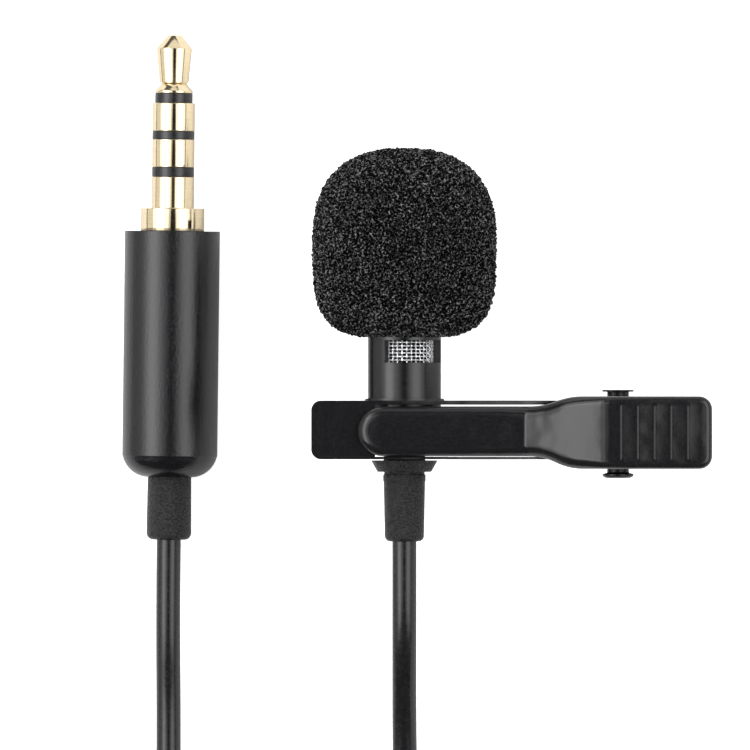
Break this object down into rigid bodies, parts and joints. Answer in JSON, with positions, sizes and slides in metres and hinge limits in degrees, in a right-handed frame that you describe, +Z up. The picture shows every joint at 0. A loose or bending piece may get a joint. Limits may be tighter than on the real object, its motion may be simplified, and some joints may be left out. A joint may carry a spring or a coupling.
{
  "type": "lavalier microphone",
  "caption": "Small clip-on microphone with a foam windscreen, a sprung clip that it swivels in, a thin coiled cable and a headset jack plug.",
  "frame": {"origin": "on the table, under the middle of the microphone with its clip", "axes": "+Z up, +Y along the microphone towards its foam, +X along the clip towards its thumb pads"},
  "size_m": [0.056, 0.1093, 0.0151],
  "materials": {
    "foam": "open-cell foam, matt",
    "black_anodised": "black anodised, satin",
    "woven_steel": "fine woven wire",
    "soft_rubber": "matt",
    "plain_aluminium": "satin",
    "film": "metallised film",
    "white_plastic": "matt",
    "gold_plate": "gold plated, polished",
    "green_board": "solder resist",
    "moulded_black": "moulded, glossy",
    "wire_black": "insulated wire",
    "nickel": "nickel plated",
    "cable_jacket": "satin",
    "black_paint": "satin black",
    "spring_steel": "drawn wire"
  },
  "bodies": {
    "clip_base": {"rear_arm": "black_paint", "hinge_pin": "black_paint", "torsion_spring": "spring_steel", "mic_lead": "cable_jacket", "cable_coil": "cable_jacket", "plug_lead": "cable_jacket", "plug_tip": "gold_plate", "tip_insulator": "moulded_black", "first_ring": "gold_plate", "ring_insulator": "moulded_black", "second_ring": "gold_plate", "sleeve_insulator": "moulded_black", "plug_sleeve": "gold_plate", "plug_core": "white_plastic", "plug_wires": "wire_black", "plug_cable_end": "cable_jacket", "plug_housing": "black_anodised", "plug_boot": "soft_rubber"},
    "front_arm": {"front_arm": "black_paint"},
    "microphone": {"mic_tube": "black_anodised", "head_grille": "woven_steel", "window_mesh": "woven_steel", "capsule_gasket": "soft_rubber", "capsule_can": "plain_aluminium", "capsule_diaphragm": "film", "capsule_spacer": "white_plastic", "capsule_backplate": "gold_plate", "capsule_holder": "white_plastic", "capsule_contact": "gold_plate", "capsule_board": "green_board", "capsule_transistor": "moulded_black", "capsule_wires": "wire_black", "tail_plug": "nickel", "cable_ferrule": "nickel", "mic_cable_end": "cable_jacket", "mic_boot": "soft_rubber"},
    "windscreen": {"foam_windscreen": "foam"}
  },
  "joints": [
    {"name": "clip_hinge", "type": "hinge", "parent": "clip_base", "child": "front_arm", "pos_m": [0.00842, -0.00706, 0.00613], "axis": [0, 1, 0], "range_deg": [0, 35], "stiffness_Nm_per_rad": 0.015, "springref_deg": -68.75, "deforming": ["torsion_spring"]},
    {"name": "mic_swivel", "type": "hinge", "parent": "clip_base", "child": "microphone", "pos_m": [-0.00947, -0.00451, 0.00754], "axis": [0, 1, 0], "continuous": true},
    {"name": "windscreen_slide", "type": "slide", "parent": "microphone", "child": "windscreen", "axis": [0, 1, 0], "range_m": [0, 0.0105]}
  ]
}
